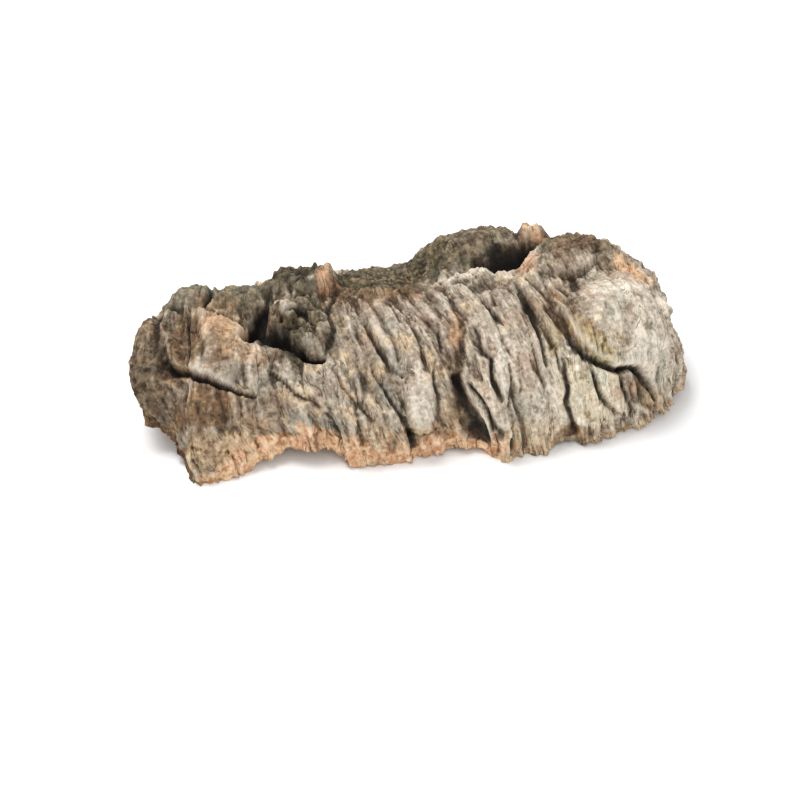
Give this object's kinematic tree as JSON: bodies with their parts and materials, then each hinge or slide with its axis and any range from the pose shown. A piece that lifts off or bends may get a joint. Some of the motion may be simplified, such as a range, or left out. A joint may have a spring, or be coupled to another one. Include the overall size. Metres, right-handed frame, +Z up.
{
  "type": "cork bark slab",
  "caption": "Arched slab of virgin cork bark, ridged and fissured outside and hollow below, used as a hide or for decoration.",
  "frame": {"origin": "middle of the bounding box, at the surface that the slab lies on", "axes": "+X along the slab, +Y from its front edge to its back edge, +Z up through its crest"},
  "size_m": [0.2938, 0.1758, 0.0727],
  "materials": {
    "bark": "rough, weathered"
  },
  "bodies": {
    "root": {"bark": "bark"}
  },
  "joints": []
}
